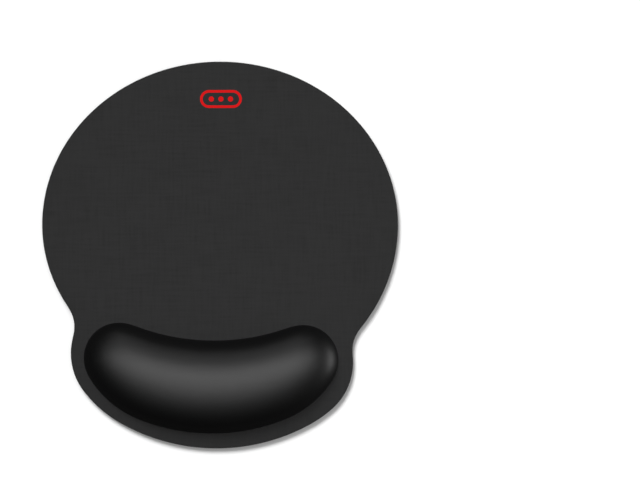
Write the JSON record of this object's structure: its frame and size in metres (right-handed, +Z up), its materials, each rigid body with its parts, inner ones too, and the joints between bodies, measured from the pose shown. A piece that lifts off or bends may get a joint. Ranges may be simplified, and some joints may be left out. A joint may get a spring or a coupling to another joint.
{
  "type": "mouse mat with gel wrist rest",
  "caption": "Flat round-topped mouse mat with a raised kidney-shaped gel wrist cushion at its near end, covered in one piece of cloth over foam, on an anti-slip sole.",
  "frame": {"origin": "centre of the footprint's bounding box, on the desk, in the plane of the sole's lower face", "axes": "+Z up out of the mat, +Y from the wrist cushion towards the round end, away from the user, +X to the user's right"},
  "size_m": [0.23, 0.25, 0.022],
  "materials": {
    "sole_rubber": "matte",
    "adhesive": "satin",
    "foam": "matte",
    "film": "satin",
    "gel": "gloss",
    "cover_cloth": "matte",
    "print_ink": "satin"
  },
  "bodies": {
    "root": {"anti_slip_sole": "sole_rubber", "sole_adhesive": "adhesive", "mat_foam": "foam", "foam_adhesive": "adhesive", "gel_backing_film": "film", "gel_core": "gel", "gel_forming_film": "film", "cover_fabric": "cover_cloth", "printed_badge": "print_ink"}
  },
  "joints": []
}
